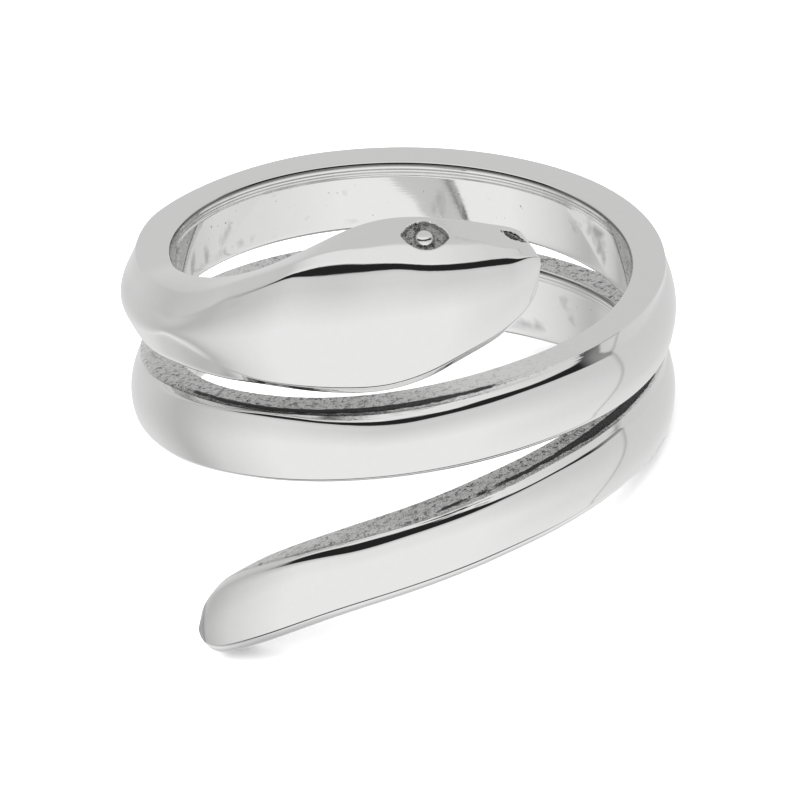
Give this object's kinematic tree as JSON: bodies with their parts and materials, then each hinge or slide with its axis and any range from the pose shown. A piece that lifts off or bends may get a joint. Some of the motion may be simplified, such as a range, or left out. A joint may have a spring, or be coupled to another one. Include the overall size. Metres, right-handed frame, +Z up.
{
  "type": "snake wrap ring",
  "caption": "Snake-shaped wrap ring: a coiled band with a leaf-shaped head, hollowed eyes and nostrils, and a rounded tail that leans away.",
  "frame": {"origin": "middle of the bounding box, on the surface that the ring rests on", "axes": "+Z up from that surface, with the finger's axis leaning 19 degrees from it towards +X; -Y towards the viewer, where the face of the head and the tail are"},
  "size_m": [0.0214, 0.0214, 0.0163],
  "materials": {
    "polished_silver": "polished cast silver, with sand-cast grain left on the upper edges of the lower turns and in the eyes and nostrils"
  },
  "bodies": {
    "root": {"snake_ring": "polished_silver"}
  },
  "joints": []
}
